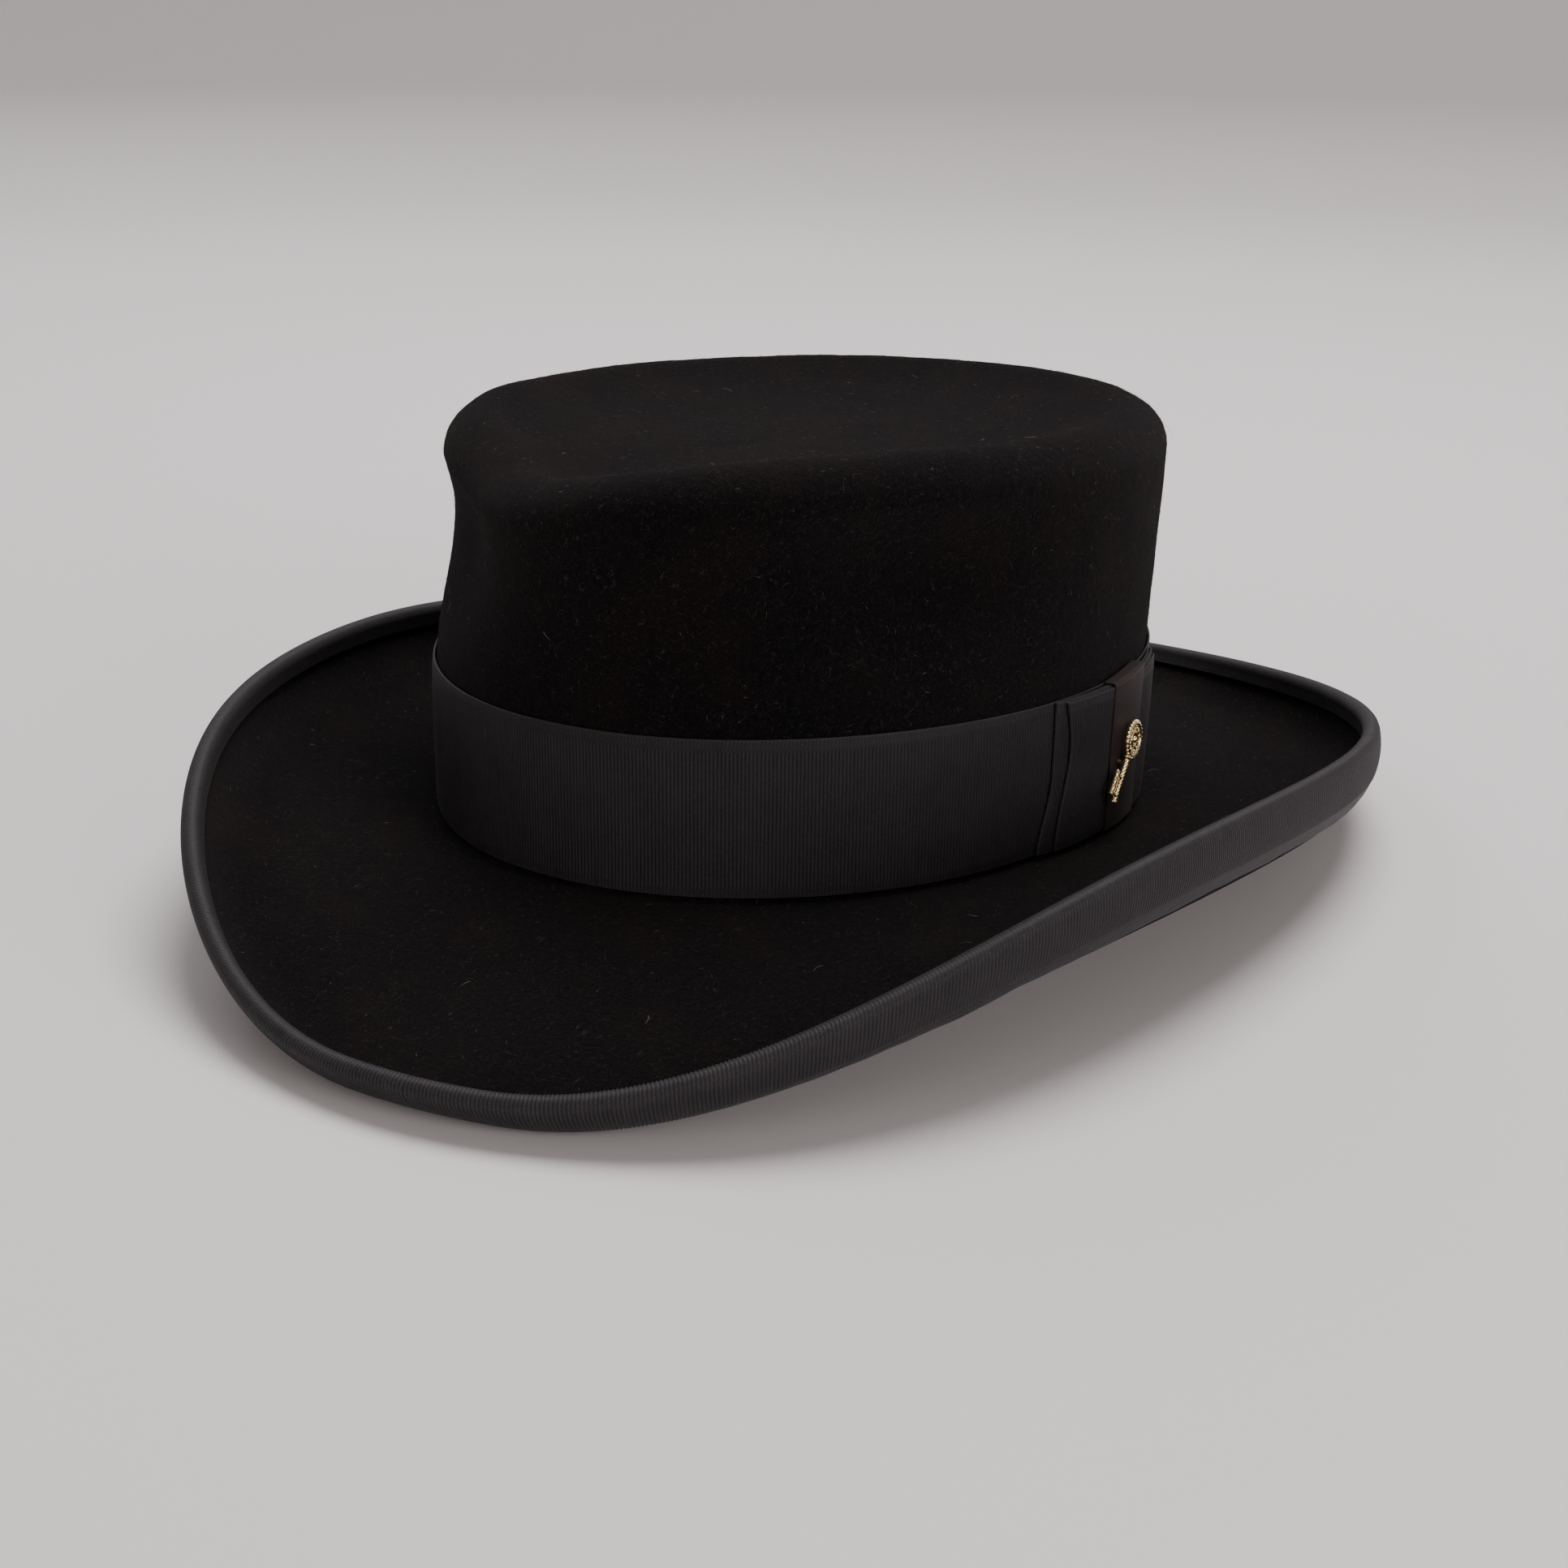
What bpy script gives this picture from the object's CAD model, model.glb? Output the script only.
"""The looks of a black fur-felt top hat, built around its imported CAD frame.

The hat's shape is worked out in millimetres in its own upright frame, where z = 0 is the foot
of the crown. to_cad() leans it back, tips it sideways and lifts it to where the CAD model stands.
Angles round the crown are measured from the front, and grow toward the wearer's left.
"""

import math

import bmesh
import bpy
import numpy as np
from mathutils import Matrix, Vector


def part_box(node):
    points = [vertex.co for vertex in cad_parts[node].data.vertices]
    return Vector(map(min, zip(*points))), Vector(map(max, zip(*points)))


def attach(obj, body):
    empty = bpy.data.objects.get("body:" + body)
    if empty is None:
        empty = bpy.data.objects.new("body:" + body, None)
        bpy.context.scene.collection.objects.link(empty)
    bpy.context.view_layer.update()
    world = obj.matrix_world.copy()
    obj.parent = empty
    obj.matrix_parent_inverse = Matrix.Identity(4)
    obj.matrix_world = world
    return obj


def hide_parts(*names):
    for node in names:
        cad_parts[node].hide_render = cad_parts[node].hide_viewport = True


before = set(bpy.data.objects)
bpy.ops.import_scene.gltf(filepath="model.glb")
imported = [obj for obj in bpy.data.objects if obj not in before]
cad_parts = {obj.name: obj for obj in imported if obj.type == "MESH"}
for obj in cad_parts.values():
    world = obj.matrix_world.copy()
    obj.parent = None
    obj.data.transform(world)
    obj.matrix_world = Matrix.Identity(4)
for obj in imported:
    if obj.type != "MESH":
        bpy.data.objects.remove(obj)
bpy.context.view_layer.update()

# ---------- sizes, in millimetres and degrees ----------

MM = 0.001
LEAN, TIP = -2.78488, -1.16247
LIFT = (-2.29046, 2.80802, 15.5029)

FELT = 2.4
HALF_WIDTH, HALF_LENGTH = 87.0, 105.8
CROWN_HEIGHT = 97.9
LIP_RADIUS, LIP_INNER_ANGLE = 10.1, 115
TOP_SAG, SAG_ANGLE, SAG_SPREAD = 8.4, -24, 31
BACK_FLARE, TAPER = 6.1, -0.6
PINCH_DEPTH, PINCH_ANGLE, PINCH_SPREAD = 10.6, 44, 23
PINCH_HEIGHT, PINCH_RISE = 71, 20
DISH_DEPTH, DISH_FADE = 8.0, 17.0

EDGE_RADIUS, EDGE_SHIFT, EDGE_OVAL, EDGE_TURN, EDGE_CORNERS, EDGE_SKEW = 157.7, -2.1, 21.9, 4.5, 0.7, 2.7
SIDE_RISE, SIDE_TILT = 24.1, -3.2
FRONT_DIP, FRONT_SPREAD = 39.3, 30
BACK_DIP, BACK_SPREAD = 22.3, 60
DIP_FLAT = 5
CURL_OUT_SIDE, CURL_OUT_END = 13.0, 10.6
CURL_UP_SIDE, CURL_UP_END = 14.2, 12.5
EDGE_ANGLE_SIDE, EDGE_ANGLE_END = 106, 55
SIDE_POWER = 5.4
BREAK_FILLET = 1.2
BINDING_WIDTH, BINDING_ABOVE = 12.0, 4.0

BAND_BOTTOM, BAND_HEIGHT = 1.6, 36.5
BAND_TOP = BAND_BOTTOM + BAND_HEIGHT
BOW_CENTRE, BOW_HALF_SPAN = 86.5, 17.0
BOW_RISE = 0.8
KNOT_HALF_SPAN, KNOT_OFFSET = 5.0, 4.25
RIBBON = 0.32

SWEATBAND_BOTTOM, SWEATBAND_TOP = -1.2, 38.0
LEATHER = 1.0
SATIN = 0.45
LINING_GAP, LINING_BOTTOM, LINING_TOP = 0.9, 28.0, 76.0
SWEATBAND_OFFSET = 1.7
REED_RADIUS, PIPING_RADIUS = 0.9, 1.0
TIP_DROP, TIP_SAG = 0.6, 2.0

PIN_ANGLE, PIN_HEIGHT, PIN_LEAN = 84, 18, 40
PIN_BASE, KEY_THICKNESS = 5.55, 1.8

RIB_PITCH = 0.86
RIB_HEIGHT = 0.27
RIB_STEPS, BINDING_RIB_STEPS = 4, 3
BAND_CLEARANCE, BAND_THICKNESS = 0.3, 0.42
BINDING_GAP, BINDING_THICKNESS = 0.3, 0.5
BRAID_START, BRAID_END, BRAID_STITCH = 1.15, 2.05, 0.45
BINDING_SELVEDGE = 3.3
STITCH_COUNT, STITCH_HALF_ANGLE, STITCH_HEIGHT = 190, 0.0085, 2.0
STITCH_SIDES, STITCH_STEPS = 6, 6
GATHER_COUNT, GATHER_ALLOWANCE = 64, 1.04

UNDER_LOOP_LAYERS, TOP_LOOP_LAYERS = (1.15, 1.72), (2.35, 2.92)
UNDER_FRONT_FOLD, UNDER_REAR_FOLD = 67.2, 103.2
TOP_FRONT_FOLD, TOP_REAR_FOLD, TOP_LOOP_TRIM = 69.9, 101.0, 0.3
BACK_KNOT_REACH = 1.2

KEY_HEAD, KEY_HEAD_RADIUS, KEY_HUB_RADIUS = 6.5, 4.05, 1.75
KEY_BEADS, KEY_BEAD_RING, KEY_SPOKES = 26, 4.5, 12
KEY_STEM_TOP, KEY_STEM_FOOT, KEY_BIT_REACH = 2.0, -11.0, 3.3


# ---------- numbers ----------

def lerp(a, b, part):
    return a + (b - a) * part


def bell(x, centre, spread):
    return np.exp(-(((x - centre) / spread) ** 2))


def smooth(low, high, x):
    part = np.clip((x - low) / (high - low), 0, 1)
    return part * part * (3 - 2 * part)


def unit(v):
    return v / np.maximum(np.linalg.norm(v, axis=-1, keepdims=True), 1e-12)


def xyz(x, y, z):
    return np.stack(np.broadcast_arrays(x, y, z), axis=-1).astype(float)


def waves(seed, x, y, z, size, count=10):
    """Smooth, seeded unevenness about 1 high, from waves about size mm long."""
    rng = np.random.default_rng(seed)
    total = 0
    for _ in range(count):
        direction = unit(rng.normal(size=3)) / (size * rng.uniform(0.7, 1.6)) * 2 * np.pi
        phase = direction[0] * x + direction[1] * y + direction[2] * z
        total = total + np.sin(phase + rng.uniform(0, 2 * np.pi))
    return total / math.sqrt(count)


# ---------- the hat's shape ----------

def from_front(t):
    return np.degrees(np.abs(np.arctan2(np.sin(t), np.cos(t))))


def oval_normal(t):
    return unit(xyz(HALF_LENGTH * np.sin(t), -HALF_WIDTH * np.cos(t), 0))


def wall_offset(t, z):
    flare = (BACK_FLARE * ((1 - np.cos(t)) / 2) ** 1.3 - TAPER) * (z / CROWN_HEIGHT)
    pinch = PINCH_DEPTH * bell(from_front(t), PINCH_ANGLE, PINCH_SPREAD) * bell(z, PINCH_HEIGHT, PINCH_RISE)
    return flare - pinch


def top_sag(t):
    """How far the crown's rim sags, most of all a little to the wearer's right."""
    bearing = np.degrees(np.arctan2(np.sin(t), np.cos(t)))
    return TOP_SAG * bell(bearing, SAG_ANGLE, SAG_SPREAD)


def wall_point(t, z, offset=0.0):
    """A point on the crown's wall at height z, moved out from it by offset."""
    t, z, offset = np.broadcast_arrays(t, z, offset)
    out = oval_normal(t) * (wall_offset(t, np.maximum(z, 0)) + offset)[..., None]
    return xyz(HALF_WIDTH * np.sin(t), -HALF_LENGTH * np.cos(t), z) + out


def brim_edge(t):
    """The brim's edge: a turned oval that stands high at the sides and dips in front and behind."""
    oval = EDGE_RADIUS + EDGE_SHIFT * np.cos(t) + EDGE_OVAL * np.cos(2 * t)
    radius = oval + EDGE_TURN * np.cos(3 * t) + EDGE_CORNERS * np.cos(4 * t) + EDGE_SKEW * np.sin(t)
    front = FRONT_DIP * bell(np.maximum(0, from_front(t) - DIP_FLAT), 0, FRONT_SPREAD)
    back = BACK_DIP * bell(np.maximum(0, 180 - from_front(t) - DIP_FLAT), 0, BACK_SPREAD)
    return xyz(radius * np.sin(t), -radius * np.cos(t), SIDE_RISE + SIDE_TILT * np.sin(t) - front - back)


def brim_profile(t):
    """The upper face from its edge in to the fillet, as distances out, heights and lengths along."""
    edge = brim_edge(t)
    root = xyz(HALF_WIDTH * np.sin(t), -HALF_LENGTH * np.cos(t), 0)
    reach = np.hypot(*((edge - root)[:, :2].T))
    rise = edge[:, 2]
    side = 1 - np.abs(np.cos(t)) ** SIDE_POWER
    curl_out = lerp(CURL_OUT_END, CURL_OUT_SIDE, side)
    curl_up = lerp(CURL_UP_END, CURL_UP_SIDE, side)
    edge_angle = np.radians(lerp(EDGE_ANGLE_END, EDGE_ANGLE_SIDE, side))
    slope = np.arctan2(rise - curl_up * (1 - np.cos(edge_angle)), reach - curl_out)
    curl_slope, root_slope = slope * 1.15, slope * 0.8
    curl_start = np.arctan(np.tan(curl_slope) * curl_out / curl_up)
    angle = lerp(edge_angle, curl_start, np.linspace(0, 1, 60)[:, None])
    curl_d = reach + curl_out * (np.sin(angle) - np.sin(edge_angle))
    curl_z = rise + curl_up * (np.cos(edge_angle) - np.cos(angle))
    tangent = BREAK_FILLET * np.tan((np.pi / 2 + root_slope) / 2)
    d0, z0 = curl_d[-1], curl_z[-1]
    d3, z3 = tangent * np.cos(root_slope), tangent * np.sin(root_slope)
    pull = (d0 - d3) / 3
    p = np.linspace(0, 1, 60)[1:, None]
    weights = [(1 - p) ** 3, 3 * p * (1 - p) ** 2, 3 * p * p * (1 - p), p ** 3]
    flange_d = sum(w * v for w, v in zip(weights, (d0, d0 - pull, d3 + pull, d3)))
    flange_z = sum(w * v for w, v in zip(weights, (
        z0, z0 - pull * np.tan(curl_slope), z3 + pull * np.tan(root_slope), z3)))
    d, z = np.concatenate([curl_d, flange_d]), np.concatenate([curl_z, flange_z])
    steps = np.hypot(np.diff(d, axis=0), np.diff(z, axis=0))
    lengths = np.concatenate([np.zeros((1, len(t))), np.cumsum(steps, axis=0)])
    return root, unit((edge - root) * [1, 1, 0]), d, z, lengths, root_slope, tangent


def brim_rows(t, bound, flat, fillet):
    """Rows of points on the brim's upper face, from its edge in to the crown's wall."""
    root, out, d, z, lengths, root_slope, tangent = brim_profile(t)
    parts = np.linspace(0, 1, flat + 1)[1:]
    rows = np.empty((bound + 1 + flat, len(t), 2))
    for k in range(len(t)):
        inner = lerp(BINDING_WIDTH, lengths[-1, k], parts)
        wanted = np.concatenate([np.linspace(0, BINDING_WIDTH, bound + 1), inner])
        rows[:, k, 0] = np.interp(wanted, lengths[:, k], d[:, k])
        rows[:, k, 1] = np.interp(wanted, lengths[:, k], z[:, k])

    def at(distance, height):
        return root + out * distance[:, None] + xyz(0 * t, 0 * t, height)

    points = [at(row[:, 0], row[:, 1]) for row in rows]
    for k in range(1, fillet + 1):
        angle = (np.pi / 2 + root_slope) * (1 - k / fillet)
        points.append(at(BREAK_FILLET * (1 - np.cos(angle)), tangent - BREAK_FILLET * np.sin(angle)))
    return points


def crown_rows(t, wall, lip, dish):
    """Rows of points up the crown's wall, over its lip and in to the middle of the dished top."""
    sag = top_sag(t)
    lip_z = CROWN_HEIGHT - LIP_RADIUS - sag
    rows = [wall_point(t, lerp(3.0, lip_z, k / wall)) for k in range(wall)]
    for k in range(lip + 1):
        angle = math.radians(LIP_INNER_ANGLE * k / lip)
        row = wall_point(t, lip_z, LIP_RADIUS * (math.cos(angle) - 1))
        row[:, 2] += LIP_RADIUS * math.sin(angle)
        rows.append(row)
    inner = rows[-1]
    for k in range(1, dish + 1):
        scale = 1 - k / dish
        dip = DISH_DEPTH * (1 - math.exp(-(1 - scale) * HALF_WIDTH / DISH_FADE))
        row = inner * scale
        row[:, 2] = inner[:, 2] + sag * (1 - scale ** 2) - dip
        rows.append(row)
    return rows


def felt_rows(t, detail):
    """Every row of the felt's outer face, edge to middle, as an array of rows by angles."""
    bound, flat, fillet, wall, lip, dish = detail
    return np.array(brim_rows(t, bound, flat, fillet) + crown_rows(t, wall, lip, dish))


def row_normals(rows):
    """Outward normals of a grid of rows by angles that closes round the angles."""
    round_it = np.roll(rows, -1, axis=1) - np.roll(rows, 1, axis=1)
    along = np.gradient(rows, axis=0)
    normals = unit(np.cross(round_it, along))
    normals[-1] = [0, 0, 1]
    return normals


# ---------- meshes ----------

def to_cad():
    return Matrix.Translation(Vector(LIFT) * MM) @ tilt().to_4x4() @ Matrix.Scale(MM, 4)


def tilt():
    return Matrix.Rotation(math.radians(LEAN), 3, "X") @ Matrix.Rotation(math.radians(TIP), 3, "Y")


def grid_faces(rows, columns, wrap_rows, wrap_columns):
    i = np.arange(rows if wrap_rows else rows - 1)[:, None]
    j = np.arange(columns if wrap_columns else columns - 1)[None, :]
    i2, j2 = (i + 1) % rows, (j + 1) % columns
    faces = np.stack([i * columns + j, i * columns + j2, i2 * columns + j2, i2 * columns + j], axis=-1)
    return faces.reshape(-1, 4)


def new_object(name, points, faces, material, body="hat", slot=None, upright=True, on_floor=False):
    """A mesh given in millimetres and placed in metres. on_floor lifts what is below z = 0 up to it."""
    mesh = bpy.data.meshes.new(name)
    mesh.from_pydata(np.asarray(points).reshape(-1, 3).tolist(), [], [list(map(int, f)) for f in faces])
    obj = bpy.data.objects.new(name, mesh)
    bpy.context.scene.collection.objects.link(obj)
    mesh.transform(to_cad() if upright else Matrix.Scale(MM, 4))
    if on_floor:
        for vertex in mesh.vertices:
            vertex.co.z = max(vertex.co.z, 0)
    tidy(mesh)
    mesh.materials.append(material)
    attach(obj, body)
    return obj


def tidy(mesh):
    """Merges doubled points, points every face outward and shades it smooth."""
    bm = bmesh.new()
    bm.from_mesh(mesh)
    bmesh.ops.remove_doubles(bm, verts=bm.verts, dist=1e-7)
    bmesh.ops.dissolve_degenerate(bm, edges=bm.edges, dist=1e-8)
    bmesh.ops.recalc_face_normals(bm, faces=bm.faces)
    bm.to_mesh(mesh)
    bm.free()
    mesh.shade_smooth()


def ring_object(name, outer, inner, material, **facts):
    """A closed body round the hat from an outer and an inner face, each rows by angles."""
    section = np.concatenate([outer, inner[::-1]])
    faces = grid_faces(len(section), section.shape[1], True, True)
    return new_object(name, section, faces, material, **facts)


def strip_object(name, front, back, material, **facts):
    """A closed strip from its front and back faces, each rows across by columns along."""
    rows, columns = front.shape[:2]
    section = np.concatenate([front, back[::-1]])
    faces = grid_faces(2 * rows, columns, True, False).tolist()
    for column in (0, columns - 1):
        for k in range(rows - 1):
            low, high = k * columns + column, (k + 1) * columns + column
            far_low, far_high = (2 * rows - 1 - k) * columns + column, (2 * rows - 2 - k) * columns + column
            faces.append([low, high, far_high, far_low])
    return new_object(name, section, faces, material, **facts)


# ---------- materials ----------

class Nodes:
    """A few words for building a node material."""

    def __init__(self, name):
        self.material = bpy.data.materials.new(name)
        self.material.use_nodes = True
        self.tree = self.material.node_tree
        self.shader = self.tree.nodes["Principled BSDF"]

    def add(self, kind, **settings):
        node = self.tree.nodes.new(kind)
        for key, value in settings.items():
            if hasattr(node, key):
                setattr(node, key, value)
            else:
                node.inputs[key.replace("_", " ").title()].default_value = value
        return node

    def link(self, source, target):
        self.tree.links.new(source, target)

    def place(self, scale=(1, 1, 1)):
        """Object coordinates, stretched by scale."""
        coordinates = self.add("ShaderNodeTexCoord")
        mapping = self.add("ShaderNodeMapping")
        mapping.inputs["Scale"].default_value = scale
        self.link(coordinates.outputs["Object"], mapping.inputs["Vector"])
        return mapping.outputs["Vector"]

    def noise(self, vector, scale, detail=2.0, roughness=0.5, distortion=0.0):
        node = self.add(
            "ShaderNodeTexNoise", scale=scale, detail=detail, roughness=roughness, distortion=distortion)
        self.link(vector, node.inputs["Vector"])
        return node.outputs["Fac"]

    def ramp(self, value, *stops):
        node = self.add("ShaderNodeValToRGB")
        elements = node.color_ramp.elements
        while len(elements) < len(stops):
            elements.new(0.5)
        for element, (position, colour) in zip(elements, stops):
            element.position = position
            element.color = (*colour, 1) if len(colour) == 3 else colour
        self.link(value, node.inputs["Fac"])
        return node.outputs["Color"]

    def math(self, operation, a, b):
        node = self.add("ShaderNodeMath", operation=operation)
        for socket, value in zip(node.inputs, (a, b)):
            if isinstance(value, (int, float)):
                socket.default_value = value
            else:
                self.link(value, socket)
        return node.outputs["Value"]

    def mix(self, part, a, b, blend="MIX"):
        node = self.add("ShaderNodeMix", data_type="RGBA", blend_type=blend)
        for socket, value in ((node.inputs[0], part), (node.inputs[6], a), (node.inputs[7], b)):
            if isinstance(value, (int, float)):
                socket.default_value = value
            elif isinstance(value, tuple):
                socket.default_value = (*value, 1)
            else:
                self.link(value, socket)
        return node.outputs[2]

    def bump(self, height, distance, strength=1.0, below=None):
        node = self.add("ShaderNodeBump", strength=strength, distance=distance)
        self.link(height, node.inputs["Height"])
        if below is not None:
            self.link(below, node.inputs["Normal"])
        return node.outputs["Normal"]

    def set(self, **values):
        for key, value in values.items():
            socket = self.shader.inputs[key.replace("_", " ").title().replace("Ior", "IOR")]
            if isinstance(value, (int, float, tuple)):
                socket.default_value = value
            else:
                self.link(value, socket)


def felt_material():
    """Black fur felt: a dense short nap with a soft bloom, faint brown and blue casts and a little lint."""
    n = Nodes("fur_felt")
    at = n.place()
    blue, black, brown = (0.0019, 0.0020, 0.0027), (0.0026, 0.0023, 0.0024), (0.0068, 0.0041, 0.0033)
    cast = n.ramp(n.noise(at, 34, 4, 0.62), (0.36, blue), (0.50, black), (0.70, brown))
    nap = n.noise(at, 1900, 4, 0.75, 1.4)
    tuft = n.noise(at, 700, 3, 0.65, 0.6)
    colour = n.mix(n.ramp(nap, (0.52, (0, 0, 0)), (0.70, (1, 1, 1))), cast, (0.0135, 0.0115, 0.0115))
    curl = n.ramp(n.noise(at, 620, 1, 0.4, 2.2), (0.482, (0, 0, 0)), (0.5, (1, 1, 1)), (0.518, (0, 0, 0)))
    broken = n.ramp(n.noise(at, 900, 1, 0.5, 1.0), (0.50, (0, 0, 0)), (0.62, (1, 1, 1)))
    fibre = n.math("MULTIPLY", curl, broken)
    colour = n.mix(fibre, colour, (0.040, 0.036, 0.034))
    fleck = n.ramp(n.noise(at, 760, 2, 0.5, 2.0), (0.785, (0, 0, 0)), (0.80, (1, 1, 1)))
    colour = n.mix(n.math("MULTIPLY", fleck, 0.8), colour, (0.15, 0.14, 0.13))
    n.set(base_color=colour, roughness=0.95, specular_ior_level=0.04)
    n.set(sheen_weight=0.06, sheen_roughness=0.5, sheen_tint=(0.55, 0.48, 0.5, 1))
    n.set(normal=n.bump(nap, 0.0005, 0.8, n.bump(tuft, 0.0008, 0.6, n.bump(fibre, 0.0002, 0.5))))
    return n.material


def grosgrain_material(name, tone):
    """Charcoal-black ribbed ribbon. The ribs are in the mesh; this adds the threads on each rib."""
    def toned(*colour):
        return tuple(a * b for a, b in zip(colour, tone))

    n = Nodes(name)
    at = n.place()
    thread = n.noise(at, 5200, 2, 0.5)
    patch = n.noise(at, 120, 3, 0.6)
    base = n.ramp(patch, (0.3, toned(0.0175, 0.0160, 0.0180)), (0.7, toned(0.0250, 0.0230, 0.0250)))
    light = n.ramp(thread, (0.45, (0, 0, 0)), (0.7, (1, 1, 1)))
    lit = n.mix(light, base, toned(0.044, 0.040, 0.043))
    hollow = n.add("ShaderNodeNewGeometry").outputs["Pointiness"]
    groove = n.ramp(hollow, (0.42, (0.14, 0.14, 0.14)), (0.54, (1, 1, 1)))
    n.set(base_color=n.mix(1.0, lit, groove, "MULTIPLY"), roughness=0.5)
    n.set(specular_ior_level=0.14, sheen_weight=0.08, sheen_roughness=0.35, sheen_tint=(0.7, 0.66, 0.7, 1))
    n.set(normal=n.bump(thread, 0.00012, 0.5))
    return n.material


def reed_material():
    """Black woven tape over the sweatband's cord."""
    n = Nodes("reed_tape")
    weave = n.noise(n.place(), 3600, 2, 0.5)
    n.set(base_color=n.ramp(weave, (0.4, (0.008, 0.008, 0.009)), (0.7, (0.03, 0.029, 0.03))), roughness=0.7)
    n.set(sheen_weight=0.2, normal=n.bump(weave, 0.0001, 0.6))
    return n.material


def leather_material():
    """Dark brown roan leather with a fine pebbled grain."""
    n = Nodes("leather")
    at = n.place()
    grain = n.add("ShaderNodeTexVoronoi", feature="F1", scale=1300.0)
    n.link(at, grain.inputs["Vector"])
    wear = n.noise(at, 45, 4, 0.6)
    colour = n.ramp(wear, (0.3, (0.020, 0.011, 0.008)), (0.7, (0.046, 0.026, 0.017)))
    n.set(base_color=colour, roughness=0.42, specular_ior_level=0.5)
    n.set(coat_weight=0.15, coat_roughness=0.35)
    n.set(normal=n.bump(grain.outputs["Distance"], 0.0002, 0.35, n.bump(wear, 0.0008, 0.2)))
    return n.material


def satin_material():
    """Black satin lining, glossy with a very fine weave."""
    n = Nodes("satin")
    at = n.place((1, 1, 0.25))
    weave = n.noise(at, 6000, 1, 0.5)
    fold = n.noise(n.place(), 26, 2, 0.5)
    colour = n.ramp(fold, (0.3, (0.010, 0.010, 0.0115)), (0.7, (0.018, 0.018, 0.020)))
    n.set(base_color=colour, roughness=0.27, specular_ior_level=0.6, anisotropic=0.5)
    n.set(sheen_weight=0.2, sheen_roughness=0.3)
    n.set(normal=n.bump(weave, 0.00008, 0.35, n.bump(fold, 0.0012, 0.35)))
    return n.material


def gilt_material():
    """Gilt casting, bright on the high places and browned in the hollows."""
    n = Nodes("gilt")
    at = n.place()
    hollow = n.add("ShaderNodeNewGeometry").outputs["Pointiness"]
    browned, gold, bright = (0.12, 0.065, 0.022), (0.74, 0.53, 0.24), (0.95, 0.78, 0.46)
    shade = n.ramp(hollow, (0.42, browned), (0.50, gold), (0.56, bright))
    pits = n.noise(at, 1500, 3, 0.6)
    colour = n.mix(n.ramp(pits, (0.55, (0, 0, 0)), (0.8, (0.6, 0.6, 0.6))), shade, (0.30, 0.17, 0.05))
    roughness = n.ramp(pits, (0.3, (0.18, 0.18, 0.18)), (0.8, (0.42, 0.42, 0.42)))
    n.set(base_color=colour, metallic=1.0, roughness=roughness)
    n.set(normal=n.bump(pits, 0.00012, 0.4))
    return n.material


def fibre_material():
    """The felt's loose fibres: most near black, some brown or grey, a few pale."""
    n = Nodes("felt_fibre")
    tone = n.noise(n.place(), 900, 1, 0.5)
    dark, brown = (0.010, 0.009, 0.009), (0.035, 0.027, 0.023)
    grey, pale = (0.060, 0.054, 0.052), (0.26, 0.24, 0.22)
    n.set(base_color=n.ramp(tone, (0.36, dark), (0.50, brown), (0.64, grey), (0.78, pale)), roughness=0.7)
    n.set(specular_ior_level=0.2)
    return n.material


def lint_material():
    n = Nodes("lint")
    tone = n.noise(n.place(), 60, 1, 0.5)
    n.set(base_color=n.ramp(tone, (0.4, (0.12, 0.11, 0.10)), (0.6, (0.35, 0.33, 0.31))), roughness=0.6)
    return n.material


def thread_material():
    n = Nodes("thread")
    twist = n.noise(n.place(), 4000, 2)
    n.set(base_color=n.ramp(twist, (0.4, (0.012, 0.012, 0.013)), (0.7, (0.05, 0.048, 0.05))), roughness=0.6)
    n.set(sheen_weight=0.3, normal=n.bump(twist, 0.0001, 0.5))
    return n.material


# ---------- felt ----------

FELT_DETAIL = (10, 36, 5, 46, 20, 26)
FIRST_WALL_ROW = sum(FELT_DETAIL[:3]) + 1


def make_felt(material):
    t = np.linspace(0, 2 * np.pi, 600, endpoint=False)
    outer = felt_rows(t, FELT_DETAIL)
    normals = row_normals(outer)
    x, y, z = outer[..., 0], outer[..., 1], outer[..., 2]
    rows = np.arange(len(outer))[:, None]
    on_wall = rows >= FIRST_WALL_ROW
    clear_of_band = np.where(on_wall, smooth(BAND_TOP + 2, BAND_TOP + 14, z), 1.0)
    clear_of_binding = smooth(10, 20, rows) * np.where(on_wall, 1.0, smooth(FIRST_WALL_ROW - 2, 36, rows))
    uneven = 0.14 * waves(3, x, y, z, 46) + 0.07 * waves(4, x, y, z, 14) + 0.025 * waves(5, x, y, z, 4)
    raised = outer + normals * (uneven * clear_of_band * clear_of_binding)[..., None]
    hat = ring_object("felt_hat", raised, outer - normals * FELT, material, slot="felt")
    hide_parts("felt_body")


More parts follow.
